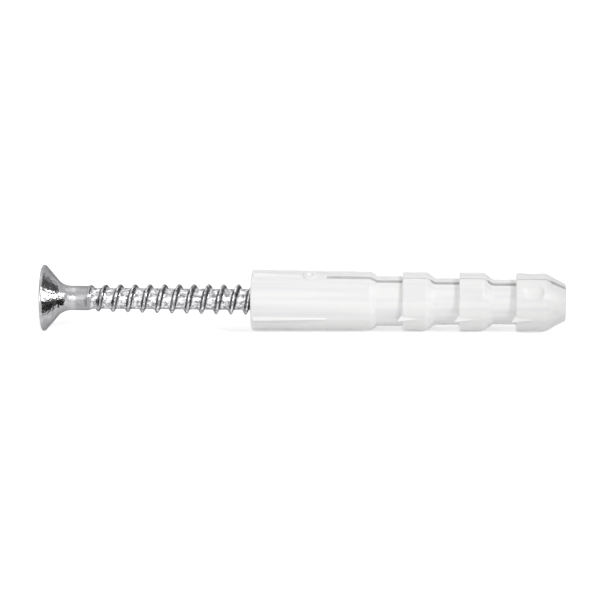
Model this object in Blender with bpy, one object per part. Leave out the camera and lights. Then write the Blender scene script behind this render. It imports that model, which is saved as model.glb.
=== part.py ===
"""Wall plug with a countersunk screw started in it, lying on its side.

The moulded plug grips the wall with three barrels, each with a pair of barbs, and it is slit
lengthwise into two legs that the screw drives apart. The screw has been pushed in by hand, up
to where its thread meets the narrowing bore.

Metres, +Z up. Both pieces are turned about one line, the local X axis, from the screw's head
at -X to the plug's tip at +X, with X = 0 at the plug's mouth. The slit lies in the local XZ
plane and the barbs point along local Y. One empty carries both pieces: it rolls and tilts
them so that the head's rim and the tip's barrel touch the surface at Z = 0.
"""

import bmesh
import bpy
from math import atan2, cos, pi, radians, sin, tan
from mathutils import Matrix, Vector

# Plug, an 8 mm one, from its mouth to its tip
NECK_DIAMETER = 0.00775
NECK_END_DIAMETER = 0.00745
NECK_LENGTH = 0.0159
NECK_END_CHAMFER = 0.0007
NECK_END_DROP = 0.0004
RIM_ROUNDING = 0.00015
FIRST_CORE_LENGTH = 0.0034
CORE_DIAMETERS = (0.00637, 0.00595, 0.00572)
BARREL_PITCH = 0.0072
BARREL_DIAMETER = 0.00746
BARREL_WIDTH = 0.0031
BARREL_NOSE_ANGLE = radians(38)
BARREL_EDGE = 0.00012
TIP_BARREL_DIAMETER = 0.00740
TIP_BARREL_WIDTH = 0.0037
TIP_LENGTH = 0.0026
TIP_END_DIAMETER = 0.00464
PLUG_SEGMENTS = 48

# Bore, clear of the thread in the neck and narrowing from there to the tip
BORE_CLEARANCE = 0.0003
BORE_TIP_DIAMETER = 0.0020
MOUTH_CHAMFER = 0.00035

# Slit, which leaves a whole collar at the mouth and is finer across the barrels
COLLAR_LENGTH = 0.0097
SLIT_WIDTH = 0.00025
BARREL_SLIT_WIDTH = 0.00014

# Fins on the neck, tallest at the rim
FIN_HEIGHT = 0.0005
FIN_END_HEIGHT = 0.00016
FIN_HALF_WIDTH = 0.0003
FIN_RIM_CHAMFER = 0.0003
SLIT_FIN_LENGTH = 0.0064

# Barbs, whose sharp points stand behind the barrels' rear faces
BARB_OVERHANG = 0.00065
BARB_LENGTH = 0.0024
BARB_HEIGHT = 0.00045
BARB_HALF_WIDTH = 0.00036
BARB_ROOT = 0.00025

# Gate mark, the ring left where the plastic was fed in
GATE_FROM_MOUTH = 0.0073
GATE_DIAMETER = 0.0016
GATE_HEIGHT = 0.00014
GATE_ROOT = 0.0003
GATE_CRATER_DIAMETER = 0.0006
GATE_CRATER_DEPTH = 0.00025
GATE_SEGMENTS = 20

# Dimples on the tip's barrel, on both sides of the slit
DIMPLE_FROM_FACE = 0.0021
DIMPLE_LENGTH = 0.0030
DIMPLE_WIDTH = 0.0024
DIMPLE_DEPTH = 0.0003
DIMPLE_ANGLE = radians(26.5)
DIMPLE_SEGMENTS = 20

# Screw, 4 by 50 mm
SCREW_LENGTH = 0.0500
SCREW_SHOWING = 0.0270
HEAD_DIAMETER = 0.0085
HEAD_LAND = 0.00045
HEAD_EDGE = 0.00012
HEAD_ROUNDING = 0.0003
HEAD_ROUNDING_DROP = 0.00018
HEAD_CONE_ANGLE = radians(47.5)
UNDERHEAD_DIAMETER = 0.00425
UNDERHEAD_LENGTH = 0.0013
SHANK_DIAMETER = 0.00315
THREAD_FROM_HEAD = 0.0058
THREAD_DIAMETER = 0.0039
THREAD_ROOT_DIAMETER = 0.00268
THREAD_PITCH = 0.00190
THREAD_CREST_WIDTH = 0.00016
THREAD_BASE_WIDTH = 0.00095
THREAD_RUN_IN = 0.0035
ROOT_RUN_IN = 0.0012
POINT_LENGTH = 0.0050
POINT_END_DIAMETER = 0.0003
THREAD_HAND = -1  # -1 is left-hand, as the photograph shows the flights; 1 is right-hand
FIRST_CREST = 0.00712
SCREW_SEGMENTS = 32

# Cross recess in the head
RECESS_SPAN = 0.0046
RECESS_FLOOR_SPAN = 0.0023
RECESS_WING_WIDTH = 0.00105
RECESS_FLOOR_WING_WIDTH = 0.0007
RECESS_DEPTH = 0.0024
RECESS_CONE_DEPTH = 0.0005

# How the pair lies
ROLL = radians(26.5)

SMOOTH_BELOW = radians(28)
OVERCUT = 0.001

HEAD_X = -SCREW_SHOWING
FIRST_BARREL_X = NECK_LENGTH + FIRST_CORE_LENGTH
BARRELS = len(CORE_DIAMETERS)
TIP_BARREL_X = FIRST_BARREL_X + (BARRELS - 1) * BARREL_PITCH
TIP_CONE_X = TIP_BARREL_X + TIP_BARREL_WIDTH
TIP_X = TIP_CONE_X + TIP_LENGTH
BORE_DIAMETER = THREAD_DIAMETER + 2 * BORE_CLEARANCE


def clear_scene():
    for thing in list(bpy.data.objects):
        bpy.data.objects.remove(thing, do_unlink=True)


def material(name, colour, roughness, metallic):
    made = bpy.data.materials.new(name)
    made.use_nodes = True
    shader = made.node_tree.nodes["Principled BSDF"]
    shader.inputs["Base Color"].default_value = (*colour, 1)
    shader.inputs["Roughness"].default_value = roughness
    shader.inputs["Metallic"].default_value = metallic
    return made


def add_object(name, mesh_builder, parent=None, location=(0, 0, 0)):
    """An object whose mesh is what the builder holds, with its faces pointing out."""
    bmesh.ops.recalc_face_normals(mesh_builder, faces=mesh_builder.faces)
    mesh = bpy.data.meshes.new(name)
    mesh_builder.to_mesh(mesh)
    mesh_builder.free()
    made = bpy.data.objects.new(name, mesh)
    made.parent = parent
    made.location = location
    bpy.context.collection.objects.link(made)
    return made


def finish(piece, finish_material):
    piece.data.materials.append(finish_material)
    piece.data.shade_smooth()
    piece.data.set_sharp_from_angle(angle=SMOOTH_BELOW)


def boolean(piece, tool, operation):
    """Join or cut a piece with a tool, which is kept as an unrendered guide."""
    tool.hide_render = True
    tool.display_type = "WIRE"
    change = piece.modifiers.new(f"{operation.lower()} {tool.name}", "BOOLEAN")
    change.operation = operation
    change.solver = "EXACT"
    change.object = tool


def first_angle(segments):
    """Where a turned shape's first corner stands, so that one of its flats faces down."""
    down = -pi / 2 + ROLL
    return down + pi / segments


def around(x, radius, angle):
    """The point at a radius and angle about the X axis; angle 0 is -Y and 90 degrees is +Z."""
    return Vector((x, -radius * cos(angle), radius * sin(angle)))


def turn(shape, profile, segments, closed):
    """Turn a profile of (x, radius) points about the X axis."""
    start = first_angle(segments)
    corners = [shape.verts.new(around(x, radius, start)) for x, radius in profile]
    pairs = list(zip(corners, corners[1:]))
    if closed:
        pairs.append((corners[-1], corners[0]))
    edges = [shape.edges.new(pair) for pair in pairs]
    bmesh.ops.spin(
        shape,
        geom=corners + edges,
        cent=(0, 0, 0),
        axis=(1, 0, 0),
        angle=2 * pi,
        steps=segments,
    )
    bmesh.ops.remove_doubles(shape, verts=shape.verts, dist=1e-6)


def barrel_face(number):
    """Where a barrel's rear face stands, counted from the mouth."""
    return FIRST_BARREL_X + number * BARREL_PITCH


def barrel_radius(number):
    diameter = BARREL_DIAMETER if number < BARRELS - 1 else TIP_BARREL_DIAMETER
    return diameter / 2


def plug_profile():
    """The plug's outside from mouth to tip, then back along its bore."""
    rim = NECK_DIAMETER / 2
    neck_end = NECK_END_DIAMETER / 2
    barrel = BARREL_DIAMETER / 2
    outside = [
        (0, rim - RIM_ROUNDING),
        (RIM_ROUNDING, rim),
        (NECK_LENGTH - NECK_END_CHAMFER, neck_end),
        (NECK_LENGTH, neck_end - NECK_END_DROP),
    ]
    core_start = NECK_LENGTH
    for number, core_diameter in enumerate(CORE_DIAMETERS):
        core = core_diameter / 2
        face = barrel_face(number)
        if number:
            nose_start = barrel_face(number - 1) + BARREL_WIDTH
            outside.append((nose_start, barrel))
            core_start = nose_start + (barrel - core) / tan(BARREL_NOSE_ANGLE)
        size = barrel_radius(number)
        outside += [(core_start, core), (face, core)]
        outside += [(face, size - BARREL_EDGE), (face + BARREL_EDGE, size)]
    outside += [(TIP_CONE_X, TIP_BARREL_DIAMETER / 2), (TIP_X, TIP_END_DIAMETER / 2)]
    bore = BORE_DIAMETER / 2
    inside = [
        (TIP_X, BORE_TIP_DIAMETER / 2),
        (NECK_LENGTH, bore),
        (MOUTH_CHAMFER, bore),
        (0, bore + MOUTH_CHAMFER),
    ]
    return outside + inside


def neck_radius(x):
    share = x / (NECK_LENGTH - NECK_END_CHAMFER)
    return (NECK_DIAMETER + (NECK_END_DIAMETER - NECK_DIAMETER) * share) / 2


def wedge(shape, points, angle):
    """A convex solid round points given as (x, sideways, outwards), turned to its angle."""
    turned = Matrix.Rotation(angle, 4, "X")
    corners = [shape.verts.new(turned @ Vector(point)) for point in points]
    hull = bmesh.ops.convex_hull(shape, input=corners)
    loose = [v for v in hull["geom_unused"] + hull["geom_interior"] if v.is_valid]
    bmesh.ops.delete(shape, geom=loose, context="VERTS")


def add_fin(shape, length, angle):
    """A tapering ridge on the neck, rooted in its wall; it starts a hair inside the rim."""
    start = RIM_ROUNDING / 2
    spread = FIN_HALF_WIDTH / FIN_HEIGHT
    points = []
    for x, height in (
        (start, FIN_HEIGHT - FIN_RIM_CHAMFER),
        (start + FIN_RIM_CHAMFER, FIN_HEIGHT),
        (length, FIN_END_HEIGHT),
    ):
        depth = height + FIN_HEIGHT
        crest = neck_radius(x) + height
        points += [(x, 0, crest), (x, spread * depth, crest - depth), (x, -spread * depth, crest - depth)]
    wedge(shape, points, angle)


def add_barb(shape, face, radius, angle):
    """A shark fin on a barrel: its crest runs from the overhanging point into the barrel."""
    crest = radius + BARB_HEIGHT
    foot = radius - BARB_ROOT
    half_width = BARB_HALF_WIDTH * (crest - foot) / BARB_HEIGHT
    front = face + BARB_LENGTH
    points = [
        (face - BARB_OVERHANG, 0, crest),
        (face, half_width, foot),
        (face, -half_width, foot),
        (front, 0, radius - BARREL_EDGE / 2),
        (front, half_width / 3, foot),
        (front, -half_width / 3, foot),
    ]
    wedge(shape, points, angle)


def plug_ridges():
    """All the fins and barbs. A wedge at angle 0 points along +Z, over the slit."""
    shape = bmesh.new()
    for over_slit in (0, pi):
        add_fin(shape, SLIT_FIN_LENGTH, over_slit)
        add_fin(shape, COLLAR_LENGTH, over_slit + pi / 2)
    for number in range(BARRELS):
        for side in (pi / 2, -pi / 2):
            add_barb(shape, barrel_face(number), barrel_radius(number), side)
    return shape


def gate_ring():
    """A low round boss on the neck, over the slit's line, which the crater is cut from."""
    shape = bmesh.new()
    surface = neck_radius(GATE_FROM_MOUTH)
    bmesh.ops.create_cone(
        shape,
        cap_ends=True,
        segments=GATE_SEGMENTS,
        radius1=GATE_DIAMETER / 2 + GATE_ROOT,
        radius2=GATE_DIAMETER / 2 - GATE_HEIGHT,
        depth=GATE_HEIGHT + GATE_ROOT,
        matrix=Matrix.Translation((GATE_FROM_MOUTH, 0, surface + (GATE_HEIGHT - GATE_ROOT) / 2)),
    )
    return shape


def gate_crater():
    shape = bmesh.new()
    top = neck_radius(GATE_FROM_MOUTH) + GATE_HEIGHT
    bmesh.ops.create_cone(
        shape,
        cap_ends=True,
        segments=GATE_SEGMENTS // 2,
        radius1=GATE_CRATER_DIAMETER / 4,
        radius2=GATE_CRATER_DIAMETER / 2,
        depth=GATE_CRATER_DEPTH,
        matrix=Matrix.Translation((GATE_FROM_MOUTH, 0, top - GATE_CRATER_DEPTH / 2)),
    )
    return shape


def slab(shape, outline, width):
    """A plate of an (x, z) outline, centred on the XZ plane."""
    face = shape.faces.new([shape.verts.new((x, -width / 2, z)) for x, z in outline])
    raised = bmesh.ops.extrude_face_region(shape, geom=[face])
    moved = [v for v in raised["geom"] if isinstance(v, bmesh.types.BMVert)]
    bmesh.ops.translate(shape, verts=moved, vec=(0, width, 0))


def wide_slit():
    """The slit through the neck and, inside the barrels' rims, on through the cores."""
    shape = bmesh.new()
    tall = NECK_DIAMETER / 2 + OVERCUT
    core = max(CORE_DIAMETERS) / 2 + BARREL_EDGE
    end = TIP_X + OVERCUT
    step = NECK_LENGTH + FIRST_CORE_LENGTH / 2
    outline = [
        (COLLAR_LENGTH, -tall),
        (step, -tall),
        (step, -core),
        (end, -core),
        (end, core),
        (step, core),
        (step, tall),
        (COLLAR_LENGTH, tall),
    ]
    slab(shape, outline, SLIT_WIDTH)
    return shape


def fine_slit():
    """The finer cut that carries the slit out through the barrels' rims."""
    shape = bmesh.new()
    tall = BARREL_DIAMETER / 2 + OVERCUT
    start = NECK_LENGTH + FIRST_CORE_LENGTH / 3
    end = TIP_X + 2 * OVERCUT
    outline = [(start, -tall), (end, -tall), (end, tall), (start, tall)]
    slab(shape, outline, BARREL_SLIT_WIDTH)
    return shape


def dimple_cutters():
    """Four egg shapes that scoop the tip's barrel on either side of the slit."""
    shape = bmesh.new()
    rise = DIMPLE_WIDTH / 2
    middle = TIP_BARREL_DIAMETER / 2 - DIMPLE_DEPTH + rise
    # how much of the egg's half size shows at the barrel's surface
    shown = (1 - (1 - DIMPLE_DEPTH / rise) ** 2) ** 0.5
    half_sizes = (DIMPLE_LENGTH / 2 / shown, DIMPLE_WIDTH / 2 / shown, rise, 1)
    for side in (0, pi):
        for lean in (DIMPLE_ANGLE, -DIMPLE_ANGLE):
            place = (
                Matrix.Rotation(side + lean, 4, "X")
                @ Matrix.Translation((TIP_BARREL_X + DIMPLE_FROM_FACE, 0, middle))
                @ Matrix.Diagonal(half_sizes)
            )
            bmesh.ops.create_uvsphere(
                shape,
                u_segments=DIMPLE_SEGMENTS,
                v_segments=DIMPLE_SEGMENTS,
                radius=1,
                matrix=place,
            )
    return shape


def make_plug(parent):
    shape = bmesh.new()
    turn(shape, plug_profile(), PLUG_SEGMENTS, closed=True)
    plug = add_object("plug", shape, parent)
    tools = (
        ("plug_ridges", plug_ridges(), "UNION"),
        ("gate_ring", gate_ring(), "UNION"),
        ("gate_crater", gate_crater(), "DIFFERENCE"),
        ("wide_slit", wide_slit(), "DIFFERENCE"),
        ("fine_slit", fine_slit(), "DIFFERENCE"),
        ("dimples", dimple_cutters(), "DIFFERENCE"),
    )
    for name, tool_shape, operation in tools:
        boolean(plug, add_object(name, tool_shape, parent), operation)
    finish(plug, material("white moulded nylon", (0.86, 0.86, 0.85), 0.35, 0.0))
    return plug


def screw_profile():
    """The screw's outside from the middle of its head to where its thread starts."""
    head = HEAD_DIAMETER / 2
    underhead = UNDERHEAD_DIAMETER / 2
    shank = SHANK_DIAMETER / 2
    cone_start = HEAD_LAND + HEAD_ROUNDING
    cone_top = head - HEAD_ROUNDING_DROP
    cone_end = cone_start + (cone_top - underhead) / tan(HEAD_CONE_ANGLE)
    points = [
        (0, 0),
        (0, head - HEAD_EDGE),
        (HEAD_EDGE, head),
        (HEAD_LAND, head),
        (HEAD_LAND + HEAD_ROUNDING / 2, head - HEAD_ROUNDING_DROP / 4),
        (cone_start, cone_top),
        (cone_end, underhead),
    ]
    steps = 4
    for step in range(1, steps + 1):
        share = step / steps
        radius = shank + (underhead - shank) * (1 - share) ** 2
        points.append((cone_end + UNDERHEAD_LENGTH * share, radius))
    points.append((THREAD_FROM_HEAD, shank))
    return points


def thread_radius(x, flight):
    """The screw's radius at x, where flight runs from 0 at the root to 1 on the crest."""
    shank = SHANK_DIAMETER / 2
    point = POINT_END_DIAMETER / 2
    before_point = min(1, (SCREW_LENGTH - x) / POINT_LENGTH)
    root_share = min(1, (x - THREAD_FROM_HEAD) / ROOT_RUN_IN)
    crest_share = min(1, (x - THREAD_FROM_HEAD) / THREAD_RUN_IN)
    root = shank + (THREAD_ROOT_DIAMETER / 2 - shank) * root_share
    crest = shank + (THREAD_DIAMETER / 2 - shank) * crest_share
    return point + (root + (crest - root) * flight - point) * before_point


def add_thread(shape):
    """The threaded length and point, as rows of points that follow the thread round.

    Rows that would start before the thread or end past the point stop there, and the points
    that then coincide are merged.
    """
    flank_width = (THREAD_BASE_WIDTH - THREAD_CREST_WIDTH) / 2
    stations = (
        (-THREAD_BASE_WIDTH / 2, 0),
        (-THREAD_BASE_WIDTH / 2 + flank_width, 1),
        (THREAD_BASE_WIDTH / 2 - flank_width, 1),
        (THREAD_BASE_WIDTH / 2, 0),
    )
    turns_before = int((FIRST_CREST - THREAD_FROM_HEAD) / THREAD_PITCH) + 3
    turns_after = int((SCREW_LENGTH - FIRST_CREST) / THREAD_PITCH) + 3
    start = first_angle(SCREW_SEGMENTS)
    columns = []
    for segment in range(SCREW_SEGMENTS + 1):
        share = segment / SCREW_SEGMENTS
        angle = start + 2 * pi * share
        column = []
        for turn_number in range(-turns_before, turns_after):
            for offset, flight in stations:
                advance = turn_number - THREAD_HAND * share
                x = FIRST_CREST + THREAD_PITCH * advance + offset
                x = min(max(x, THREAD_FROM_HEAD), SCREW_LENGTH)
                column.append(shape.verts.new(around(x, thread_radius(x, flight), angle)))
        columns.append(column)
    for column, following in zip(columns, columns[1:]):
        for row in range(len(column) - 1):
            shape.faces.new((column[row], column[row + 1], following[row + 1], following[row]))


def recess_cutter():
    """A cross with four tapering wings and a shallow cone at its floor."""
    shape = bmesh.new()

    def cross(x, span, wing_width):
        reach = span / 2
        half = wing_width / 2
        quarter = ((reach, -half), (reach, half), (half, half))
        ring = []
        for wing in range(4):
            turned = Matrix.Rotation(wing * pi / 2, 2)
            for corner in quarter:
                y, z = turned @ Vector(corner)
                ring.append(shape.verts.new((x, y, z)))
        return ring

    slope = (RECESS_SPAN - RECESS_FLOOR_SPAN) / RECESS_DEPTH
    wing_slope = (RECESS_WING_WIDTH - RECESS_FLOOR_WING_WIDTH) / RECESS_DEPTH
    outer = cross(-OVERCUT, RECESS_SPAN + slope * OVERCUT, RECESS_WING_WIDTH + wing_slope * OVERCUT)
    floor = cross(RECESS_DEPTH, RECESS_FLOOR_SPAN, RECESS_FLOOR_WING_WIDTH)
    tip = shape.verts.new((RECESS_DEPTH + RECESS_CONE_DEPTH, 0, 0))
    shape.faces.new(outer)
    for index, corner in enumerate(outer):
        after = (index + 1) % len(outer)
        shape.faces.new((corner, outer[after], floor[after], floor[index]))
        shape.faces.new((floor[index], floor[after], tip))
    return shape


def make_screw(parent):
    """The screw's origin is the middle of its head's face, on the line that it slides along."""
    shape = bmesh.new()
    turn(shape, screw_profile(), SCREW_SEGMENTS, closed=False)
    add_thread(shape)
    bmesh.ops.remove_doubles(shape, verts=shape.verts, dist=1e-5)
    bmesh.ops.holes_fill(shape, edges=[edge for edge in shape.edges if edge.is_boundary])
    screw = add_object("screw", shape, parent, (HEAD_X, 0, 0))
    recess = add_object("cross_recess", recess_cutter(), parent, (HEAD_X, 0, 0))
    boolean(screw, recess, "DIFFERENCE")
    finish(screw, material("bright zinc plated steel", (0.62, 0.63, 0.65), 0.25, 1.0))
    return screw


def make_resting():
    """The empty that lays the pair down: the head's rim and the tip's barrel touch Z = 0."""
    head_low = HEAD_DIAMETER / 2 * cos(pi / SCREW_SEGMENTS)
    tip_low = TIP_BARREL_DIAMETER / 2 * cos(pi / PLUG_SEGMENTS)
    head_touch = HEAD_X + HEAD_LAND
    tilt = atan2(head_low - tip_low, TIP_CONE_X - head_touch)
    axis_height = (head_low + head_touch * tan(tilt)) * cos(tilt)
    low_end = HEAD_X * cos(tilt) - head_low * sin(tilt)
    high_end = TIP_X * cos(tilt) + TIP_END_DIAMETER / 2 * sin(tilt)
    resting = bpy.data.objects.new("resting", None)
    resting.location = (-(low_end + high_end) / 2, 0, axis_height)
    resting.rotation_euler = (ROLL, tilt, 0)
    bpy.context.collection.objects.link(resting)
    return resting


clear_scene()
resting = make_resting()
make_plug(resting)
make_screw(resting)
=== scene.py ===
"""Looks for a wall plug with a countersunk screw started in it.

Metres, +Z up. Both pieces are made along one X axis, from the screw's head at -X to the plug's
tip at +X with X = 0 at the plug's mouth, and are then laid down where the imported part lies.
"""

from math import cos, pi, radians, sin, sqrt, tan

import bmesh
import bpy
from mathutils import Matrix, Vector


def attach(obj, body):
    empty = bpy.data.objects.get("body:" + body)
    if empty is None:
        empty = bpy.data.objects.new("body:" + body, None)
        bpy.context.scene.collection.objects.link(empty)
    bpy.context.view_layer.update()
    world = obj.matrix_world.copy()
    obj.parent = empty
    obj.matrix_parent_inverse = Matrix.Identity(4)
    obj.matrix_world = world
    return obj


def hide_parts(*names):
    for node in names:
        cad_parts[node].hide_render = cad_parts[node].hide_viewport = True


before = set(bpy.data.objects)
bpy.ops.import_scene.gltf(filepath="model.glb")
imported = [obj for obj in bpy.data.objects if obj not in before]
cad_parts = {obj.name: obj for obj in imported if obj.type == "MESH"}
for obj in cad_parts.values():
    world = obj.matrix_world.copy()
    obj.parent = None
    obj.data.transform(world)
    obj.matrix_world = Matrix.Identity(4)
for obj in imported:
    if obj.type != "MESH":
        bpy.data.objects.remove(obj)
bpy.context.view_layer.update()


# The plug's body: white nylon, injection moulded in one piece. A collar at the mouth stays whole,
# and a slit from there to the tip leaves two legs, with cores between three barrels that grip
# the wall. The bore narrows towards the tip, so that a driven screw spreads the legs.

NECK_RADIUS = 0.003875
NECK_END_RADIUS = 0.003725
NECK_LENGTH = 0.0159
NECK_END_CHAMFER = 0.0007
NECK_END_DROP = 0.0004
FIRST_CORE_LENGTH = 0.0034
CORE_RADII = (0.003185, 0.002975, 0.00286)
BARREL_PITCH = 0.0072
BARREL_RADIUS = 0.00373
BARREL_WIDTH = 0.0031
BARREL_NOSE = radians(38)
TIP_BARREL_RADIUS = 0.0037
TIP_BARREL_WIDTH = 0.0037
TIP_LENGTH = 0.0026
TIP_END_RADIUS = 0.00232
BORE_RADIUS = 0.00225
BORE_TIP_RADIUS = 0.0010
MOUTH_CHAMFER = 0.00035
PLUG_STEPS = 144

# how far from each corner of the outline its rounding starts
RIM_ROUNDING = 0.0002
NECK_END_ROUNDING = 0.00025
NECK_EDGE_ROUNDING = 0.00012
NECK_CORNER_ROUNDING = 0.00006
CORE_CORNER_ROUNDING = 0.00012
BARREL_EDGE_ROUNDING = 0.00016
NOSE_ROUNDING = 0.0003
NOSE_FOOT_ROUNDING = 0.00022
TIP_BARREL_ROUNDING = 0.00035
TIP_ROUNDING = 0.00016
BORE_TIP_ROUNDING = 0.00008
BORE_ROUNDING = 0.0001
MOUTH_ROUNDING = 0.00008

FIRST_BARREL = NECK_LENGTH + FIRST_CORE_LENGTH
TIP_BARREL = FIRST_BARREL + 2 * BARREL_PITCH
TIP_CONE = TIP_BARREL + TIP_BARREL_WIDTH
TIP = TIP_CONE + TIP_LENGTH


def rounded(corners, steps=4, most_of_a_side=0.45):
    """Profile points whose corners, given as (x, radius, rounding), are rounded off."""
    points = []
    count = len(corners)
    for number, (x, radius, rounding) in enumerate(corners):
        here = Vector((x, radius))
        before = Vector(corners[number - 1][:2]) - here
        after = Vector(corners[(number + 1) % count][:2]) - here
        reach = min(rounding, before.length * most_of_a_side, after.length * most_of_a_side)
        if reach < 1e-6:
            points.append(here)
            continue
        start = here + before.normalized() * reach
        end = here + after.normalized() * reach
        for step in range(steps + 1):
            share = step / steps
            points.append(start.lerp(here, share).lerp(here.lerp(end, share), share))
    return points


def turned(name, profile, steps, closed, start=0.0):
    """A mesh object turned about the X axis from a profile of (x, radius) points."""
    shape = bmesh.new()
    corners = [shape.verts.new((x, -r * cos(start), r * sin(start))) for x, r in profile]
    pairs = list(zip(corners, corners[1:])) + ([(corners[-1], corners[0])] if closed else [])
    edges = [shape.edges.new(pair) for pair in pairs]
    bmesh.ops.spin(
        shape,
        geom=corners + edges,
        cent=(0, 0, 0),
        axis=(1, 0, 0),
        angle=2 * pi,
        steps=steps,
    )
    bmesh.ops.remove_doubles(shape, verts=shape.verts, dist=1e-7)
    return from_shape(name, shape)


def from_shape(name, shape):
    """An object with the shape's mesh, its faces pointing out."""
    bmesh.ops.recalc_face_normals(shape, faces=shape.faces)
    mesh = bpy.data.meshes.new(name)
    shape.to_mesh(mesh)
    shape.free()
    made = bpy.data.objects.new(name, mesh)
    bpy.context.collection.objects.link(made)
    return made


plug_corners = [
    (0, NECK_RADIUS, RIM_ROUNDING),
    (NECK_LENGTH - NECK_END_CHAMFER, NECK_END_RADIUS, NECK_END_ROUNDING),
    (NECK_LENGTH, NECK_END_RADIUS - NECK_END_DROP, NECK_EDGE_ROUNDING),
    (NECK_LENGTH, CORE_RADII[0], NECK_CORNER_ROUNDING),
]
for number, core in enumerate(CORE_RADII):
    face = FIRST_BARREL + number * BARREL_PITCH
    barrel = BARREL_RADIUS if number < 2 else TIP_BARREL_RADIUS
    plug_corners += [(face, core, CORE_CORNER_ROUNDING), (face, barrel, BARREL_EDGE_ROUNDING)]
    if number < 2:
        nose = face + BARREL_WIDTH
        next_core = CORE_RADII[number + 1]
        nose_end = nose + (BARREL_RADIUS - next_core) / tan(BARREL_NOSE)
        plug_corners += [(nose, barrel, NOSE_ROUNDING), (nose_end, next_core, NOSE_FOOT_ROUNDING)]
plug_corners += [
    (TIP_CONE, TIP_BARREL_RADIUS, TIP_BARREL_ROUNDING),
    (TIP, TIP_END_RADIUS, TIP_ROUNDING),
    (TIP, BORE_TIP_RADIUS, BORE_TIP_ROUNDING),
    (NECK_LENGTH, BORE_RADIUS, 0.0),
    (MOUTH_CHAMFER, BORE_RADIUS, BORE_ROUNDING),
    (0, BORE_RADIUS + MOUTH_CHAMFER, MOUTH_ROUNDING),
]
plug = turned("plug_body", rounded(plug_corners), PLUG_STEPS, closed=True)


# The fins, barbs and dimples: moulded with the plug. Four fins stop the collar from turning in
# the hole, a pair of barbs on each barrel bites the wall, and dimples flank the slit at the tip.

COLLAR_LENGTH = 0.0097
FIN_HEIGHT = 0.0005
FIN_END_HEIGHT = 0.00016
FIN_HALF_WIDTH = 0.0003
FIN_RIM_CHAMFER = 0.0003
FIN_FROM_RIM = 0.00008
FIN_EDGE = 0.00004
SLIT_FIN_LENGTH = 0.0064
BARB_OVERHANG = 0.00065
BARB_LENGTH = 0.0029
BARB_HEIGHT = 0.00045
BARB_HALF_WIDTH = 0.00036
BARB_ROOT = 0.00025
BARB_END_SINK = 0.00006
BARB_TAPER = 3
BARB_EDGE = 0.00003
DIMPLE_FROM_FACE = 0.0021
DIMPLE_LENGTH = 0.0030
DIMPLE_WIDTH = 0.0029
DIMPLE_DEPTH = 0.00046
DIMPLE_ANGLE = radians(32)
DIMPLE_STEPS = 48


def node(tree, kind, settings=None, inputs=None):
    """Add a node, set its properties, then give each of its inputs a value or a link."""
    made = tree.nodes.new(kind)
    for name, value in (settings or {}).items():
        setattr(made, name, value)
    for name, value in (inputs or {}).items():
        if isinstance(value, bpy.types.NodeSocket):
            tree.links.new(value, made.inputs[name])
        else:
            made.inputs[name].default_value = value
    return made


def geometry_tree(name, sockets):
    """A Geometry Nodes tree with the named inputs, its group input and the inputs' identifiers."""
    tree = bpy.data.node_groups.new(name, "GeometryNodeTree")
    tree.is_modifier = True
    tree.interface.new_socket("Geometry", in_out="OUTPUT", socket_type="NodeSocketGeometry")
    identifiers = {}
    for label, kind in sockets:
        socket = tree.interface.new_socket(label, in_out="INPUT", socket_type=kind)
        identifiers[label] = socket.identifier
    return tree, tree.nodes.new("NodeGroupInput"), identifiers


def grown(name, tree, identifiers, values):
    """The plain mesh object that a Geometry Nodes tree makes from the named values."""
    host = bpy.data.objects.new(name, bpy.data.meshes.new(name))
    bpy.context.collection.objects.link(host)
    modifier = host.modifiers.new(name, "NODES")
    modifier.node_group = tree
    for label, value in values.items():
        modifier[identifiers[label]] = value
    return plain(host)


def plain(piece):
    """Turn what a piece's modifiers make of it into its own mesh, and remove the modifiers."""
    bpy.context.view_layer.update()
    evaluated = piece.evaluated_get(bpy.context.evaluated_depsgraph_get())
    mesh = bpy.data.meshes.new_from_object(evaluated)
    piece.modifiers.clear()
    piece.data = mesh
    return piece


set_tree, given, set_sockets = geometry_tree(
    "set along and round the axis",
    (
        ("Feature", "NodeSocketObject"),
        ("Rows", "NodeSocketInt"),
        ("Row Pitch", "NodeSocketFloat"),
        ("Round", "NodeSocketInt"),
        ("Material", "NodeSocketMaterial"),
    ),
)
feature = node(set_tree, "GeometryNodeObjectInfo", inputs={"Object": given.outputs["Feature"]})
count = node(
    set_tree,
    "ShaderNodeMath",
    {"operation": "MULTIPLY"},
    {0: given.outputs["Rows"], 1: given.outputs["Round"]},
)
spots = node(set_tree, "GeometryNodePoints", inputs={"Count": count.outputs[0], "Radius": 0.0001})
index = node(set_tree, "GeometryNodeInputIndex")
share = node(
    set_tree,
    "ShaderNodeMath",
    {"operation": "DIVIDE"},
    {0: index.outputs[0], 1: given.outputs["Round"]},
)
row = node(set_tree, "ShaderNodeMath", {"operation": "FLOOR"}, {0: share.outputs[0]})
along = node(
    set_tree,
    "ShaderNodeMath",
    {"operation": "MULTIPLY"},
    {0: row.outputs[0], 1: given.outputs["Row Pitch"]},
)
offset = node(set_tree, "ShaderNodeCombineXYZ", inputs={"X": along.outputs[0]})
placed = node(
    set_tree,
    "GeometryNodeSetPosition",
    inputs={"Geometry": spots.outputs[0], "Position": offset.outputs[0]},
)
angle = node(
    set_tree,
    "ShaderNodeMath",
    {"operation": "MULTIPLY"},
    {0: share.outputs[0], 1: 2 * pi},
)
turn = node(set_tree, "ShaderNodeCombineXYZ", inputs={"X": angle.outputs[0]})
turn = node(set_tree, "FunctionNodeEulerToRotation", inputs={0: turn.outputs[0]})
copies = node(
    set_tree,
    "GeometryNodeInstanceOnPoints",
    inputs={
        "Points": placed.outputs[0],
        "Instance": feature.outputs["Geometry"],
        "Rotation": turn.outputs[0],
    },
)
real = node(set_tree, "GeometryNodeRealizeInstances", inputs={"Geometry": copies.outputs[0]})
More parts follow.
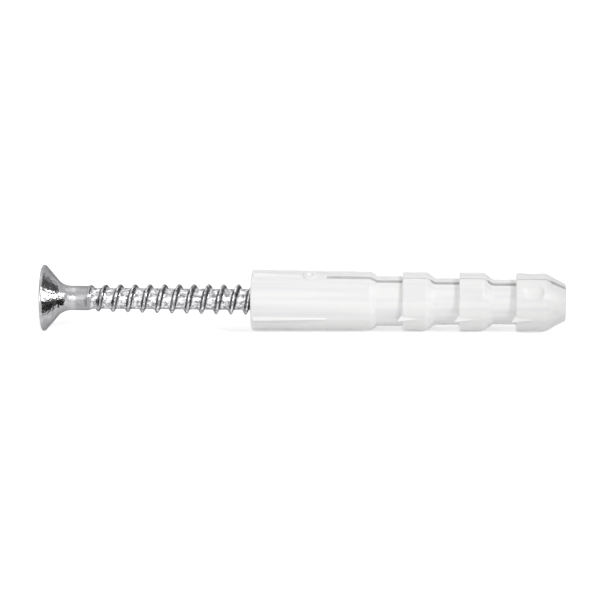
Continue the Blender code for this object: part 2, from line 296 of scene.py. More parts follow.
real = node(
    set_tree,
    "GeometryNodeSetMaterial",
    inputs={"Geometry": real.outputs[0], "Material": given.outputs["Material"]},
)
node(set_tree, "NodeGroupOutput", inputs={0: real.outputs[0]})


def neck_radius(x):
    return NECK_RADIUS + (NECK_END_RADIUS - NECK_RADIUS) * x / (NECK_LENGTH - NECK_END_CHAMFER)


def hull(name, points, edge):
    """A convex feature over +Z round (x, sideways, outwards) points, with its edges eased."""
    shape = bmesh.new()
    corners = [shape.verts.new(point) for point in points]
    done = bmesh.ops.convex_hull(shape, input=corners)
    spare = [v for v in done["geom_unused"] + done["geom_interior"] if v.is_valid]
    bmesh.ops.delete(shape, geom=spare, context="VERTS")
    bmesh.ops.dissolve_limit(shape, angle_limit=radians(1), verts=shape.verts, edges=shape.edges)
    bmesh.ops.bevel(
        shape,
        geom=shape.edges[:],
        offset=edge,
        offset_type="OFFSET",
        segments=2,
        profile=0.5,
        affect="EDGES",
        clamp_overlap=True,
    )
    return from_shape(name, shape)


def fin(name, length):
    """A ridge along the neck, tallest at the rim, whose sides slope down into the neck."""
    spread = FIN_HALF_WIDTH / FIN_HEIGHT
    points = []
    for x, height in (
        (FIN_FROM_RIM, FIN_HEIGHT - FIN_RIM_CHAMFER),
        (FIN_FROM_RIM + FIN_RIM_CHAMFER, FIN_HEIGHT),
        (length, FIN_END_HEIGHT),
    ):
        depth = height + FIN_HEIGHT
        crest = neck_radius(x) + height
        foot = crest - depth
        points += [(x, 0, crest), (x, spread * depth, foot), (x, -spread * depth, foot)]
    return hull(name, points, FIN_EDGE)


crest = BARREL_RADIUS + BARB_HEIGHT
foot = BARREL_RADIUS - BARB_ROOT
half = BARB_HALF_WIDTH * (crest - foot) / BARB_HEIGHT
barb = hull(
    "barb",
    [
        (FIRST_BARREL - BARB_OVERHANG, 0, crest),
        (FIRST_BARREL, half, foot),
        (FIRST_BARREL, -half, foot),
        (FIRST_BARREL + BARB_LENGTH, 0, BARREL_RADIUS - BARB_END_SINK),
        (FIRST_BARREL + BARB_LENGTH, half / BARB_TAPER, foot),
        (FIRST_BARREL + BARB_LENGTH, -half / BARB_TAPER, foot),
    ],
    BARB_EDGE,
)

rise = DIMPLE_WIDTH / 2
shown = sqrt(1 - (1 - DIMPLE_DEPTH / rise) ** 2)
middle = (TIP_BARREL + DIMPLE_FROM_FACE, 0, TIP_BARREL_RADIUS - DIMPLE_DEPTH + rise)
spans = (DIMPLE_LENGTH / 2 / shown, DIMPLE_WIDTH / 2 / shown, rise, 1)
shape = bmesh.new()
for lean in (DIMPLE_ANGLE, -DIMPLE_ANGLE):
    bmesh.ops.create_uvsphere(
        shape,
        u_segments=DIMPLE_STEPS,
        v_segments=DIMPLE_STEPS,
        radius=1,
        matrix=Matrix.Rotation(lean, 4, "X") @ Matrix.Translation(middle) @ Matrix.Diagonal(spans),
    )
dimples = from_shape("dimple_pair", shape)

sources = {
    "slit_fins": (fin("slit_fin", SLIT_FIN_LENGTH), 1, 2),
    "side_fins": (fin("side_fin", COLLAR_LENGTH), 1, 2),
    "barbs": (barb, 3, 2),
    "dimples": (dimples, 1, 2),
}
for name in ("side_fins", "barbs"):
    sources[name][0].data.transform(Matrix.Rotation(pi / 2, 4, "X"))
features = {}
for name, (source, rows, round_count) in sources.items():
    features[name] = grown(
        name,
        set_tree,
        set_sockets,
        {"Feature": source, "Rows": rows, "Row Pitch": BARREL_PITCH, "Round": round_count},
    )
    bpy.data.objects.remove(source, do_unlink=True)


# The gate mark and the slit: the gate is the low ring with a crater where the plastic was fed in
# and torn off, over the slit's line. The slit is wider through the cores than over the barrels.

GATE_FROM_MOUTH = 0.00755
GATE_TURN = radians(-5)
GATE_RADIUS = 0.00092
GATE_HEIGHT = 0.00018
GATE_ROOT = 0.0003
GATE_FLARE = 0.0001
GATE_FOOT_SINK = 0.00002
GATE_FOOT_FLARE = 0.00006
GATE_FOOT_ROUNDING = 0.0001
GATE_EDGE_ROUNDING = 0.00012
GATE_STEPS = 40
CRATER_RADIUS = 0.00036
CRATER_DEPTH = 0.00025
CRATER_LIP = 0.00005
CRATER_LIP_ROUNDING = 0.00006
CRATER_FLOOR_ROUNDING = 0.0001
CRATER_STEPS = 24
CRATER_CLEAR = 0.0001
SLIT_WIDTH = 0.00052
SLIT_WIDTH_AT_TIP = 0.00056
SLIT_PAST_CORE = 0.00012
BARREL_SLIT_WIDTH = 0.00014
OVERCUT = 0.001


def upright(name, profile, steps):
    """A round feature that stands on the neck at the gate, from a profile of (height, radius)."""
    made = turned(name, rounded(profile), steps, closed=True)
    stand = Matrix.Translation((GATE_FROM_MOUTH, 0, 0)) @ Matrix.Rotation(-pi / 2, 4, "Y")
    made.data.transform(Matrix.Rotation(GATE_TURN, 4, "X") @ stand)
    return made


surface = neck_radius(GATE_FROM_MOUTH)
gate_top = surface + GATE_HEIGHT
gate_ring = upright(
    "gate_ring",
    [
        (surface - GATE_ROOT, 0, 0),
        (surface - GATE_ROOT, GATE_RADIUS + GATE_FLARE, 0),
        (surface - GATE_FOOT_SINK, GATE_RADIUS + GATE_FOOT_FLARE, GATE_FOOT_ROUNDING),
        (gate_top, GATE_RADIUS - GATE_FLARE, GATE_EDGE_ROUNDING),
        (gate_top, 0, 0),
    ],
    GATE_STEPS,
)
gate_crater = upright(
    "gate_crater",
    [
        (gate_top - CRATER_DEPTH, 0, 0),
        (gate_top - CRATER_DEPTH, CRATER_RADIUS * 0.6, CRATER_FLOOR_ROUNDING),
        (gate_top - CRATER_LIP, CRATER_RADIUS * 0.9, CRATER_LIP_ROUNDING),
        (gate_top + CRATER_CLEAR, CRATER_RADIUS * 1.4, 0),
        (gate_top + CRATER_CLEAR, 0, 0),
    ],
    CRATER_STEPS,
)


def slab(name, outline, width, end_width):
    """A plate with an (x, z) outline, whose width changes evenly up to its far end."""
    near = min(x for x, _ in outline)
    far = max(x for x, _ in outline)
    shape = bmesh.new()
    sides = []
    for side in (-0.5, 0.5):
        spread = [side * (width + (end_width - width) * (x - near) / (far - near)) for x, _ in outline]
        sides.append([shape.verts.new((x, y, z)) for (x, z), y in zip(outline, spread)])
        shape.faces.new(sides[-1])
    left, right = sides
    for number in range(len(outline)):
        shape.faces.new((left[number - 1], left[number], right[number], right[number - 1]))
    return from_shape(name, shape)


tall = NECK_RADIUS + OVERCUT
core = CORE_RADII[0] + SLIT_PAST_CORE
step = NECK_LENGTH + FIRST_CORE_LENGTH / 2
end = TIP + OVERCUT
wide_slit = slab(
    "wide_slit",
    [
        (COLLAR_LENGTH, -tall),
        (step, -tall),
        (step, -core),
        (end, -core),
        (end, core),
        (step, core),
        (step, tall),
        (COLLAR_LENGTH, tall),
    ],
    SLIT_WIDTH,
    SLIT_WIDTH_AT_TIP,
)
start = NECK_LENGTH + FIRST_CORE_LENGTH / 3
fine_slit = slab(
    "fine_slit",
    [(start, -tall), (end + OVERCUT, -tall), (end + OVERCUT, tall), (start, tall)],
    BARREL_SLIT_WIDTH,
    BARREL_SLIT_WIDTH,
)


def combine(piece, tools):
    """Join or cut a piece with each tool in turn, then keep the result as a plain mesh."""
    for tool, operation in tools:
        change = piece.modifiers.new(tool.name, "BOOLEAN")
        change.operation = operation
        change.solver = "EXACT"
        change.object = tool
    plain(piece)
    for tool, _ in tools:
        bpy.data.objects.remove(tool, do_unlink=True)


combine(
    plug,
    (
        (features["slit_fins"], "UNION"),
        (features["side_fins"], "UNION"),
        (features["barbs"], "UNION"),
        (gate_ring, "UNION"),
        (gate_crater, "DIFFERENCE"),
        (wide_slit, "DIFFERENCE"),
        (fine_slit, "DIFFERENCE"),
        (features["dimples"], "DIFFERENCE"),
    ),
)

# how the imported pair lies: its roll and slope, and where the middle of the plug's mouth is
ROLL = radians(26.5)
AXIS_TILT = 0.0084041
MOUTH_AT = (-0.0064917, 0.0, 0.0040063)


def linear(colour, alpha=1.0):
    """An sRGB hex colour such as "#C8CACC" as linear values."""
    values = [int(colour[i : i + 2], 16) / 255 for i in (1, 3, 5)]
    return (*(v / 12.92 if v <= 0.04045 else ((v + 0.055) / 1.055) ** 2.4 for v in values), alpha)


def lay_down(piece, finish, smooth_below):
    """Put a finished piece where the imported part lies, and give it its material."""
    turn = Matrix.Rotation(AXIS_TILT, 4, "Y") @ Matrix.Rotation(ROLL, 4, "X")
    piece.data.transform(Matrix.Translation(MOUTH_AT) @ turn)
    piece.data.materials.clear()
    piece.data.materials.append(finish)
    piece.data.shade_smooth()
    piece.data.set_sharp_from_angle(angle=smooth_below)


def surface_material(name, patterns):
    """A new material, its tree and shader, its coordinates along the pair's axis and its patterns.

    Each pattern is a noise, given as (name, size in metres along X, Y and Z, detail).
    """
    made = bpy.data.materials.new(name)
    made.use_nodes = True
    tree = made.node_tree
    place = node(tree, "ShaderNodeTexCoord")
    place = node(
        tree,
        "ShaderNodeMapping",
        {"vector_type": "TEXTURE"},
        {"Vector": place.outputs["Object"], "Location": MOUTH_AT, "Rotation": (ROLL, AXIS_TILT, 0)},
    ).outputs[0]
    heights = {}
    for label, size, detail in patterns:
        scale = [1 / side for side in size]
        scaled = node(tree, "ShaderNodeMapping", inputs={"Vector": place, "Scale": scale})
        inputs = {"Vector": scaled.outputs[0], "Scale": 1.0, "Detail": detail}
        heights[label] = node(tree, "ShaderNodeTexNoise", inputs=inputs).outputs[0]
    return made, tree, tree.nodes["Principled BSDF"], place, heights


# White nylon as it comes from a polished mould: satin, a little light gets into it, and its tone
# and surface vary in faint lengthwise bands, as the mould was polished along its length. The
# grain is drawn at 0.12 to 0.18 mm, coarser than the real one, so that it shows.
NYLON_WHITE = "#F3F3F2"
NYLON_BAND = "#EDEDEE"
NYLON_IOR = 1.53
NYLON_LIGHT_DEPTH = 0.0004
NYLON_SMOOTH_BELOW = radians(40)
BAND_HEIGHT = 0.0001
GRAIN_HEIGHT = 0.00001

nylon, tree, shader, place, heights = surface_material(
    "white_moulded_nylon",
    (
        ("bands", (0.03, 0.0008, 0.0008), 1.0),
        ("grain", (0.00018, 0.00012, 0.00012), 2.0),
    ),
)
band_share = node(
    tree,
    "ShaderNodeMapRange",
    inputs={"Value": heights["bands"], "From Min": 0.42, "From Max": 0.62},
)
tone = node(
    tree,
    "ShaderNodeMix",
    {"data_type": "RGBA"},
    {0: band_share.outputs[0], 6: linear(NYLON_WHITE), 7: linear(NYLON_BAND)},
)
roughness = node(
    tree,
    "ShaderNodeMapRange",
    inputs={
        "Value": heights["grain"],
        "From Min": 0.3,
        "From Max": 0.7,
        "To Min": 0.34,
        "To Max": 0.48,
    },
)
tree.links.new(tone.outputs[2], shader.inputs["Base Color"])
tree.links.new(roughness.outputs[0], shader.inputs["Roughness"])
shader.inputs["IOR"].default_value = NYLON_IOR
shader.inputs["Subsurface Weight"].default_value = 0.3
shader.inputs["Subsurface Radius"].default_value = (1.0, 0.95, 0.9)
shader.inputs["Subsurface Scale"].default_value = NYLON_LIGHT_DEPTH
bump = node(
    tree,
    "ShaderNodeBump",
    inputs={"Height": heights["bands"], "Strength": 0.35, "Distance": BAND_HEIGHT},
)
bump = node(
    tree,
    "ShaderNodeBump",
    inputs={
        "Height": heights["grain"],
        "Strength": 0.25,
        "Distance": GRAIN_HEIGHT,
        "Normal": bump.outputs[0],
    },
)
tree.links.new(bump.outputs[0], shader.inputs["Normal"])

lay_down(plug, nylon, NYLON_SMOOTH_BELOW)
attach(plug, "plug")
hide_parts("plug")


# The screw: steel wire, cold headed and thread rolled, then zinc plated. A countersunk head with
# a cross recess runs by a fillet into the plain shank, and the rolled thread, which stands out
# past the shank, runs to a point. It was pushed into the plug's neck by hand, as far as it goes.

SCREW_LENGTH = 0.05
SCREW_SHOWING = 0.0270
HEAD_RADIUS = 0.00425
HEAD_LAND = 0.0002
HEAD_EDGE = 0.00012
HEAD_FACE_ROUNDING = 0.00016
HEAD_ROUNDING = 0.0003
HEAD_ROUNDING_DROP = 0.00018
HEAD_CONE = radians(49.5)
UNDERHEAD_RADIUS = 0.002125
UNDERHEAD_ROUNDING = 0.0006
UNDERHEAD_LENGTH = 0.0015
FILLET_STEPS = 10
SHANK_RADIUS = 0.001575
THREAD_FROM_HEAD = 0.0058
THREAD_RADIUS = 0.00195
ROOT_RADIUS = 0.00134
THREAD_PITCH = 0.0019
THREAD_BASE_WIDTH = 0.00098
THREAD_RUN_IN = 0.020
RUN_IN_SWELL = 0.35
ROOT_RUN_IN = 0.0008
POINT_LENGTH = 0.0050
POINT_END_RADIUS = 0.00015
THREAD_HAND = -1  # -1 is left-hand, as the photograph shows the flights; 1 is right-hand
FIRST_CREST = 0.00712
SCREW_STEPS = 96
ROWS_PER_TURN = 24
TURNS_BEFORE = 3
TURNS = 28

# a flight's height from its crest, at 0, down to its foot, at 1
FLIGHT_SECTION = ((0.14, 0.985), (0.3, 0.86), (0.82, 0.08))

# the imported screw's angle at the thread's start, so that the flights stand where its flights do
THREAD_START = -pi / 2 + ROLL + pi / 32

thread_tree, given, thread_sockets = geometry_tree(
    "rolled thread with run-in and point",
    (
        ("Pitch", "NodeSocketFloat"),
        ("Root Radius", "NodeSocketFloat"),
        ("Crest Radius", "NodeSocketFloat"),
        ("Shank Radius", "NodeSocketFloat"),
        ("Base Width", "NodeSocketFloat"),
        ("Start", "NodeSocketFloat"),
        ("End", "NodeSocketFloat"),
        ("First Crest", "NodeSocketFloat"),
        ("Crest Run In", "NodeSocketFloat"),
        ("Root Run In", "NodeSocketFloat"),
        ("Point Length", "NodeSocketFloat"),
        ("Point Radius", "NodeSocketFloat"),
        ("Hand", "NodeSocketFloat"),
        ("Turns", "NodeSocketInt"),
        ("Material", "NodeSocketMaterial"),
    ),
)
rows = node(
    thread_tree,
    "ShaderNodeMath",
    {"operation": "MULTIPLY_ADD"},
    {0: given.outputs["Turns"], 1: ROWS_PER_TURN, 2: 1},
)
sheet = node(
    thread_tree,
    "GeometryNodeMeshGrid",
    inputs={
        "Size X": 1,
        "Size Y": 1,
        "Vertices X": SCREW_STEPS + 1,
        "Vertices Y": rows.outputs[0],
    },
)
where = node(thread_tree, "GeometryNodeInputPosition")
where = node(thread_tree, "ShaderNodeSeparateXYZ", inputs={0: where.outputs[0]})
section = node(thread_tree, "ShaderNodeFloatCurve")
curve = section.mapping.curves[0]
curve.points[0].location = (0.0, 1.0)
curve.points[1].location = (1.0, 0.0)
for point in FLIGHT_SECTION:
    curve.points.new(*point)
for point in curve.points:
    point.handle_type = "AUTO_CLAMPED"
section.mapping.update()

# The sheet is rolled up point by point: across it is once round the screw, and along it are the
# thread's turns. Each line is a sum's name, its operation, and the sizes or sums it is made from.
sums = {socket.name: socket for socket in given.outputs}
sums["sheet x"] = where.outputs["X"]
sums["sheet y"] = where.outputs["Y"]
sums["flight"] = section.outputs[0]
for name, operation, *terms in (
    ("round share", "ADD", "sheet x", 0.5),
    ("run", "ADD", "sheet y", 0.5),
    ("run", "MULTIPLY", "run", "Turns"),
    ("advance", "SUBTRACT", "run", TURNS_BEFORE),
    ("lag", "MULTIPLY", "Hand", "round share"),
    ("advance", "SUBTRACT", "advance", "lag"),
    ("reach", "MULTIPLY_ADD", "Pitch", "advance", "First Crest"),
    ("reach", "MAXIMUM", "reach", "Start"),
    ("reach", "MINIMUM", "reach", "End"),
    ("from crest", "ADD", "run", 0.5),
    ("from crest", "FRACT", "from crest"),
    ("from crest", "SUBTRACT", "from crest", 0.5),
    ("from crest", "ABSOLUTE", "from crest"),
    ("from crest", "MULTIPLY", "from crest", "Pitch"),
    ("from crest", "DIVIDE", "from crest", "Base Width"),
    ("from crest", "MULTIPLY", "from crest", 2),
    ("into thread", "SUBTRACT", "reach", "Start"),
    ("root share", "DIVIDE", "into thread", "Root Run In"),
    ("crest share", "DIVIDE", "into thread", "Crest Run In"),
    ("crest share", "POWER", "crest share", RUN_IN_SWELL),
    ("root", "SUBTRACT", "Root Radius", "Shank Radius"),
    ("root", "MULTIPLY_ADD", "root", "root share", "Shank Radius"),
    ("crest", "SUBTRACT", "Crest Radius", "Shank Radius"),
    ("crest", "MULTIPLY_ADD", "crest", "crest share", "Shank Radius"),
    ("radius", "SUBTRACT", "crest", "root"),
    ("radius", "MULTIPLY_ADD", "radius", "flight", "root"),
    ("to end", "SUBTRACT", "End", "reach"),
    ("point share", "DIVIDE", "to end", "Point Length"),
    ("radius", "SUBTRACT", "radius", "Point Radius"),
    ("radius", "MULTIPLY_ADD", "radius", "point share", "Point Radius"),
    ("angle", "MULTIPLY_ADD", "round share", 2 * pi, THREAD_START),
    ("y", "COSINE", "angle"),
    ("y", "MULTIPLY", "radius", "y"),
    ("y", "MULTIPLY", "y", -1),
    ("z", "SINE", "angle"),
    ("z", "MULTIPLY", "radius", "z"),
):
    made = node(
        thread_tree,
        "ShaderNodeMath",
        {"operation": operation, "use_clamp": name.endswith("share")},  # a share is from 0 to 1
        {number: sums.get(term, term) for number, term in enumerate(terms)},
    )
    sums[name] = made.outputs[0]
thread_tree.links.new(sums["from crest"], section.inputs["Value"])

spot = node(
    thread_tree,
    "ShaderNodeCombineXYZ",
    inputs={"X": sums["reach"], "Y": sums["y"], "Z": sums["z"]},
)
wrapped = node(
    thread_tree,
    "GeometryNodeSetPosition",
    inputs={"Geometry": sheet.outputs[0], "Position": spot.outputs[0]},
)
welded = node(
    thread_tree,
    "GeometryNodeMergeByDistance",
    inputs={"Geometry": wrapped.outputs[0], "Distance": 1e-6},
)
real = node(thread_tree, "GeometryNodeRealizeInstances", inputs={"Geometry": welded.outputs[0]})
real = node(
    thread_tree,
    "GeometryNodeSetMaterial",
    inputs={"Geometry": real.outputs[0], "Material": given.outputs["Material"]},
)
node(thread_tree, "NodeGroupOutput", inputs={0: real.outputs[0]})

thread = grown(
    "rolled_thread",
    thread_tree,
    thread_sockets,
    {
        "Pitch": THREAD_PITCH,
        "Root Radius": ROOT_RADIUS,
        "Crest Radius": THREAD_RADIUS,
        "Shank Radius": SHANK_RADIUS,
        "Base Width": THREAD_BASE_WIDTH,
        "Start": THREAD_FROM_HEAD,
        "End": SCREW_LENGTH,
        "First Crest": FIRST_CREST,
        "Crest Run In": THREAD_RUN_IN,
        "Root Run In": ROOT_RUN_IN,
        "Point Length": POINT_LENGTH,
        "Point Radius": POINT_END_RADIUS,
        "Hand": float(THREAD_HAND),
        "Turns": TURNS,
    },
)

cone_start = HEAD_LAND + HEAD_ROUNDING
cone_end = cone_start + (HEAD_RADIUS - HEAD_ROUNDING_DROP - UNDERHEAD_RADIUS) / tan(HEAD_CONE)
head_corners = [
    (0, 0, 0),
    (0, HEAD_RADIUS, HEAD_FACE_ROUNDING),
    (HEAD_LAND + HEAD_EDGE, HEAD_RADIUS, HEAD_ROUNDING),
    (cone_end, UNDERHEAD_RADIUS, UNDERHEAD_ROUNDING),
]
for number in range(1, FILLET_STEPS + 1):
    share = number / FILLET_STEPS
    fillet = SHANK_RADIUS + (UNDERHEAD_RADIUS - SHANK_RADIUS) * (1 - share) ** 2
    head_corners.append((cone_end + UNDERHEAD_LENGTH * share, fillet, 0.0))
head_corners += [(THREAD_FROM_HEAD, SHANK_RADIUS, 0)]
head = turned("head", rounded(head_corners), SCREW_STEPS, closed=False, start=THREAD_START)

shape = bmesh.new()
for part in (head, thread):
    shape.from_mesh(part.data)
bmesh.ops.remove_doubles(shape, verts=shape.verts, dist=2e-6)
bmesh.ops.holes_fill(shape, edges=[edge for edge in shape.edges if edge.is_boundary])
for part in (head, thread):
    bpy.data.objects.remove(part, do_unlink=True)
screw = from_shape("screw_body", shape)

# the cross recess: a punch that narrows to its floor, with a shallow cone below that
RECESS_SPAN = 0.0046
RECESS_FLOOR_SPAN = 0.0023
RECESS_WING_WIDTH = 0.00105
RECESS_FLOOR_WING_WIDTH = 0.0007
RECESS_DEPTH = 0.0024
RECESS_CONE_DEPTH = 0.0005


def cross(shape, x, span, width):
    """The twelve corners of a cross in a plane across the axis."""
    ring = []
    for wing in range(4):
        quarter = Matrix.Rotation(wing * pi / 2, 2)
        for corner in ((span / 2, -width / 2), (span / 2, width / 2), (width / 2, width / 2)):
            ring.append(shape.verts.new((x, *(quarter @ Vector(corner)))))
    return ring


shape = bmesh.new()
slope = (RECESS_SPAN - RECESS_FLOOR_SPAN) / RECESS_DEPTH
wing_slope = (RECESS_WING_WIDTH - RECESS_FLOOR_WING_WIDTH) / RECESS_DEPTH
outer = cross(
    shape,
    -OVERCUT,
    RECESS_SPAN + slope * OVERCUT,
    RECESS_WING_WIDTH + wing_slope * OVERCUT,
)
floor = cross(shape, RECESS_DEPTH, RECESS_FLOOR_SPAN, RECESS_FLOOR_WING_WIDTH)
tip = shape.verts.new((RECESS_DEPTH + RECESS_CONE_DEPTH, 0, 0))
shape.faces.new(outer)
for number, corner in enumerate(outer):
    after = (number + 1) % len(outer)
    shape.faces.new((corner, outer[after], floor[after], floor[number]))
    shape.faces.new((floor[number], floor[after], tip))
recess = from_shape("cross_recess", shape)
combine(screw, ((recess, "DIFFERENCE"),))
screw.data.transform(Matrix.Translation((-SCREW_SHOWING, 0, 0)))

# how far each point of the surface faces the screw's tip, for the painted shade on the flights' flanks
to_point = screw.data.attributes.new("turned_to_point", "FLOAT", "POINT")
to_point.data.foreach_set("value", [vertex.normal.x for vertex in screw.data.vertices])

# Bright zinc plating over rolled steel: a grey mirror, dulled a little by the grain of the plating
# and made uneven by the heading and rolling dies. The thread's core and crests are rubbed bright
# in specks, a dark grey is painted on the flights' flanks as shade, heaviest on the flanks turned
# to the point, and the drawn shank is duller. The grain is drawn at 0.12 mm and the specks at
# 0.4 mm, coarser than the real ones, so that they show.
ZINC_LIGHT = "#BCBCBE"
ZINC_DARK = "#A2A2A4"
ZINC_EDGE = "#A2A2A4"
RUBBED_LIGHT = "#E0E0E2"
RUBBED_DARK = "#909092"
WIRE_GREY = "#8E8E90"
# the dark grey painted on the flights' flanks as shade
FLANK_PAINTED_SHADE_GREY = "#58585A"
ZINC_SMOOTH_BELOW = radians(35)
DIE_MARK_HEIGHT = 0.00008

# distances from the axis between which the painted flank shade and the rubbed places begin and end
PAINTED_SHADE_FOOT = (0.00142, 0.00154)
PAINTED_SHADE_TOP = (0.00168, 0.00182)
RUBBED_CORE = (0.00136, 0.00150)
RUBBED_CREST = (0.00166, 0.00176)

# places along the axis, in the same way
THREAD_AT = THREAD_FROM_HEAD - SCREW_SHOWING
PAINTED_SHADE_START = (THREAD_AT, THREAD_AT + 0.001)
THREAD_BEGIN = (THREAD_AT, THREAD_AT + 0.0006)
WIRE_START = (0.0040 - SCREW_SHOWING, 0.0045 - SCREW_SHOWING)

zinc, tree, shader, place, heights = surface_material(
    "bright_zinc_plated_steel",
    (
        ("speckle", (0.0004, 0.00034, 0.00034), 2.0),
        ("uneven", (0.00045, 0.00035, 0.00035), 2.0),
        ("grain", (0.00012, 0.00012, 0.00012), 2.0),
        ("haze", (0.0015, 0.001, 0.001), 3.0),
    ),
)
across = node(tree, "ShaderNodeVectorMath", {"operation": "MULTIPLY"}, {0: place, 1: (0, 1, 1)})
across = node(tree, "ShaderNodeVectorMath", {"operation": "LENGTH"}, {0: across.outputs[0]})
from_axis = across.outputs["Value"]
along = node(tree, "ShaderNodeSeparateXYZ", inputs={0: place}).outputs["X"]
facing = node(tree, "ShaderNodeAttribute", {"attribute_name": "turned_to_point"}).outputs["Fac"]

# each line is a mask's name, what it follows and between which values, and what it runs from and to
masks = {}
for name, source, (near, far), (first, last) in (
    ("over foot", from_axis, PAINTED_SHADE_FOOT, (0.0, 1.0)),
    ("under crest", from_axis, PAINTED_SHADE_TOP, (1.0, 0.0)),
    ("past start", along, PAINTED_SHADE_START, (0.0, 0.8)),
    ("to the tip", facing, (-0.2, 0.3), (0.1, 1.0)),
    ("core", from_axis, RUBBED_CORE, (1.0, 0.0)),
    ("crest", from_axis, RUBBED_CREST, (0.0, 1.0)),
    ("threaded", along, THREAD_BEGIN, (0.0, 1.0)),
    ("drawn", along, WIRE_START, (0.0, 0.45)),
    ("not threaded", along, THREAD_BEGIN, (1.0, 0.0)),
    ("speckle", heights["speckle"], (0.4, 0.6), (0.0, 1.0)),
    ("haze", heights["haze"], (0.35, 0.65), (0.0, 1.0)),
    ("dull", heights["haze"], (0.3, 0.7), (0.1, 0.22)),
):
    made = node(
        tree,
        "ShaderNodeMapRange",
        inputs={"Value": source, "From Min": near, "From Max": far, "To Min": first, "To Max": last},
    )
    masks[name] = made.outputs[0]
# painted shade: dark grey between the flights' foot and crest past the thread's start, heaviest on the
# flanks that face the point
for name, operation, one, other in (
    ("film", "MULTIPLY", "over foot", "under crest"),
    ("film", "MULTIPLY", "film", "past start"),
    ("film", "MULTIPLY", "film", "to the tip"),
    ("rubbed", "MAXIMUM", "core", "crest"),
    ("rubbed", "MULTIPLY", "rubbed", "threaded"),
    ("drawn", "MULTIPLY", "drawn", "not threaded"),
    ("dull", "MAXIMUM", "dull", "drawn"),
):
    inputs = {0: masks[one], 1: masks[other]}
    masks[name] = node(tree, "ShaderNodeMath", {"operation": operation}, inputs).outputs[0]

# the tones are laid over one another, each where its mask is 1
tones = {}
for name, mask, under, over in (
    ("burnished", "speckle", linear(RUBBED_LIGHT), linear(RUBBED_DARK)),
    ("plated", "haze", linear(ZINC_LIGHT), linear(ZINC_DARK)),
    ("plated", "drawn", "plated", linear(WIRE_GREY)),
    ("plated", "rubbed", "plated", "burnished"),
    # the painted shade on the flanks is laid over all the rest
    ("plated", "film", "plated", linear(FLANK_PAINTED_SHADE_GREY)),
):
    inputs = {0: masks[mask], 6: tones.get(under, under), 7: tones.get(over, over)}
    tones[name] = node(tree, "ShaderNodeMix", {"data_type": "RGBA"}, inputs).outputs[2]
tree.links.new(tones["plated"], shader.inputs["Base Color"])
tree.links.new(masks["dull"], shader.inputs["Roughness"])
shader.inputs["Metallic"].default_value = 1.0
shader.inputs["Specular Tint"].default_value = linear(ZINC_EDGE)
bump = node(
    tree,
    "ShaderNodeBump",
    inputs={"Height": heights["uneven"], "Strength": 0.8, "Distance": DIE_MARK_HEIGHT},
)
bump = node(
    tree,
    "ShaderNodeBump",
    inputs={
        "Height": heights["grain"],
        "Strength": 0.3,
        "Distance": GRAIN_HEIGHT,
        "Normal": bump.outputs[0],
    },
)
tree.links.new(bump.outputs[0], shader.inputs["Normal"])

lay_down(screw, zinc, ZINC_SMOOTH_BELOW)
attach(screw, "screw")
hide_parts("screw")


# The studio: a white paper sweep under a white sky, a soft key lamp in front on the right and weak
# lamps in front on the left, above and behind. The side lamp and the two cards are there for the
# bright metal to mirror, and a dark flag past the tip takes a little light off the plug's end.

PAPER_WHITE = "#EDEDED"
PAPER_GLOW = 0.55
SKY_ON_THE_PAIR = 0.43
FLOOR_REACH = 3.0


def lamp(name, place, size, power):
    """A square soft lamp that points at the pair."""
    light = bpy.data.lights.new(name, "AREA")
    light.shape = "SQUARE"
    light.size = size
    light.energy = power
    made = bpy.data.objects.new(name, light)
    made.location = place
    made.rotation_euler = (-Vector(place)).to_track_quat("-Z", "Y").to_euler()
    bpy.context.collection.objects.link(made)
    return made


def flat_sheet(name, corners, finish):
    """A sheet with four corners that stands in the studio and isn't part of the object."""
    shape = bmesh.new()
    shape.faces.new([shape.verts.new(corner) for corner in corners])
    mesh = bpy.data.meshes.new(name)
    shape.to_mesh(mesh)
    shape.free()
    mesh.materials.append(finish)
    made = bpy.data.objects.new(name, mesh)
    bpy.context.collection.objects.link(made)
    return made


def seen_straight(tree):
    """1 on rays from the camera, a mirror or glass, and 0 on those that light the pair."""
    ray = node(tree, "ShaderNodeLightPath")
    seen = ray.outputs["Is Camera Ray"]
    for kind in ("Is Glossy Ray", "Is Transmission Ray"):
        inputs = {0: seen, 1: ray.outputs[kind]}
        seen = node(tree, "ShaderNodeMath", {"operation": "MAXIMUM"}, inputs).outputs[0]
    return seen


paper = bpy.data.materials.new("white_paper_sweep")
paper.use_nodes = True
tree = paper.node_tree
shader = tree.nodes["Principled BSDF"]
shader.inputs["Base Color"].default_value = linear(PAPER_WHITE)
shader.inputs["Roughness"].default_value = 0.9
shader.inputs["Specular IOR Level"].default_value = 0.0
shader.inputs["Emission Color"].default_value = (1, 1, 1, 1)
glow = node(
    tree,
    "ShaderNodeMath",
    {"operation": "MULTIPLY"},
    {0: seen_straight(tree), 1: PAPER_GLOW},
)
tree.links.new(glow.outputs[0], shader.inputs["Emission Strength"])
near, far = -FLOOR_REACH, FLOOR_REACH
flat_sheet("floor", [(near, near, 0), (far, near, 0), (far, far, 0), (near, far, 0)], paper)

world = bpy.data.worlds.new("studio")
world.use_nodes = True
bpy.context.scene.world = world
tree = world.node_tree
sky = tree.nodes["Background"]
level = node(
    tree,
    "ShaderNodeMapRange",
    inputs={"Value": seen_straight(tree), "To Min": SKY_ON_THE_PAIR, "To Max": 1.0},
)
sky.inputs["Color"].default_value = (1, 1, 1, 1)
tree.links.new(level.outputs[0], sky.inputs["Strength"])

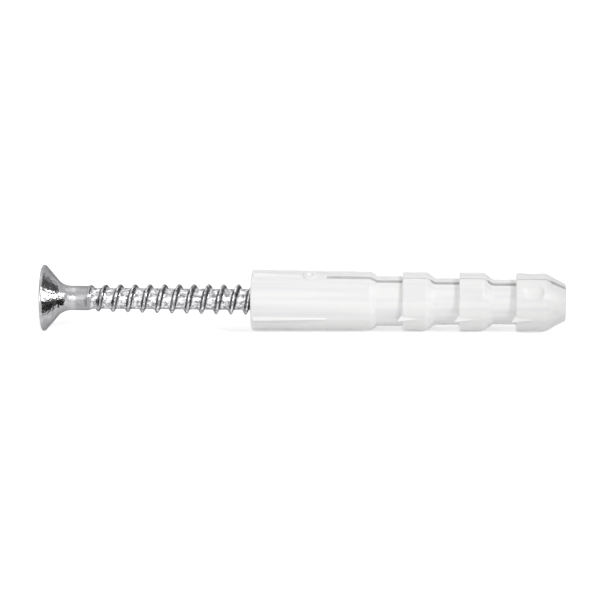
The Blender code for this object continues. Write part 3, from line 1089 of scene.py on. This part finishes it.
lamp("key", (0.74, -0.6, 0.54), 0.26, 4.9)
lamp("side", (0.5, -0.06, 0.065), 0.14, 0.6).visible_diffuse = False
lamp("fill", (-0.112, -0.35, 0.091), 0.21, 0.35)
lamp("top", (-0.05, 0.05, 0.5), 0.35, 0.25)
lamp("back", (-0.1, 0.55, 0.2), 0.3, 0.2)

# upright sheets of felt across the X axis: the cards only show in what mirrors them, and the
# flag only keeps light off what is matt
for name, colour, x, (near, far), (low, high) in (
    ("card_right", "#7C7C7C", 0.6, (-0.3, 0.5), (0.02, 0.5)),
    ("card_low", "#303030", -0.0281, (-0.006, -0.0019), (0, 0.0046)),
    ("flag", "#303030", 0.044, (-0.04, 0.02), (0, 0.018)),
):
    felt = bpy.data.materials.new(name)
    felt.use_nodes = True
    shader = felt.node_tree.nodes["Principled BSDF"]
    shader.inputs["Base Color"].default_value = linear(colour)
    shader.inputs["Roughness"].default_value = 1.0
    card = flat_sheet(name, [(x, near, low), (x, far, low), (x, far, high), (x, near, high)], felt)
    card.visible_camera = False
    card.visible_diffuse = name == "flag"
    card.visible_glossy = name != "flag"
    card.visible_shadow = False
    card.visible_transmission = False


# The camera: a little above the pair and nearly square to it, as the photograph was taken, with
# the roll at which the pair lies in the picture.

CAMERA_TARGET = Vector((-0.000373, 0, 0.003956))
CAMERA_DISTANCE = 0.4
CAMERA_AZIMUTH = radians(4)
CAMERA_ELEVATION = radians(12)
CAMERA_ROLL = radians(-0.775)
PIXELS_PER_METRE = 7814
PICTURE_WIDTH = 600
SENSOR_WIDTH = 36

camera = bpy.data.objects.new("camera", bpy.data.cameras.new("camera"))
bpy.context.collection.objects.link(camera)
camera.data.sensor_width = SENSOR_WIDTH
camera.data.lens = SENSOR_WIDTH * PIXELS_PER_METRE * CAMERA_DISTANCE / PICTURE_WIDTH
camera.data.clip_start = 0.001
turn = (
    Matrix.Rotation(CAMERA_AZIMUTH, 4, "Z")
    @ Matrix.Rotation(pi / 2 - CAMERA_ELEVATION, 4, "X")
    @ Matrix.Rotation(CAMERA_ROLL, 4, "Z")
)
back_off = Matrix.Translation((0, 0, CAMERA_DISTANCE))
camera.matrix_world = Matrix.Translation(CAMERA_TARGET) @ turn @ back_off
bpy.context.scene.camera = camera
bpy.context.scene.view_settings.view_transform = "Standard"
